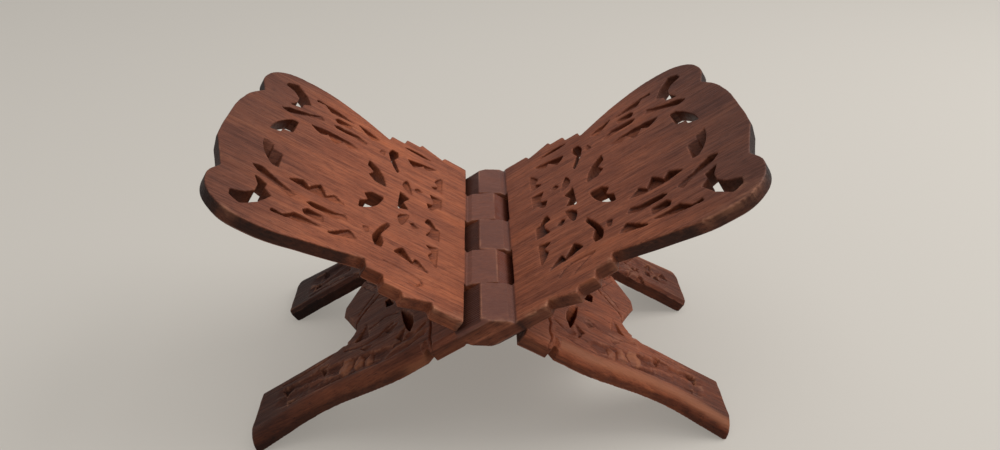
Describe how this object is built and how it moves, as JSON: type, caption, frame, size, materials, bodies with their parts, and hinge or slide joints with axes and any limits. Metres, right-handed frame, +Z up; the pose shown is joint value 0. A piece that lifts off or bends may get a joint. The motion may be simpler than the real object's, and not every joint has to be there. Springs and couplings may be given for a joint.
{
  "type": "folding book stand",
  "caption": "Carved wooden book stand of two interlocked leaves that open to an X-shaped cradle on splayed legs and fold flat.",
  "frame": {"origin": "on the table, under the middle of the hinge", "axes": "+X to the right leaf's panel, +Y along the hinge away from the viewer, +Z up"},
  "size_m": [0.3304, 0.2062, 0.2013],
  "materials": {
    "right_leaf_wood": "oiled, worn",
    "left_leaf_wood": "oiled, worn"
  },
  "bodies": {
    "right_leaf": {"right_leaf": "right_leaf_wood"},
    "left_leaf": {"left_leaf": "left_leaf_wood"}
  },
  "joints": [
    {"name": "fold", "type": "hinge", "parent": "right_leaf", "child": "left_leaf", "pos_m": [0, 0, 0.09776], "axis": [0, 1, 0], "range_deg": [0, 115]}
  ]
}
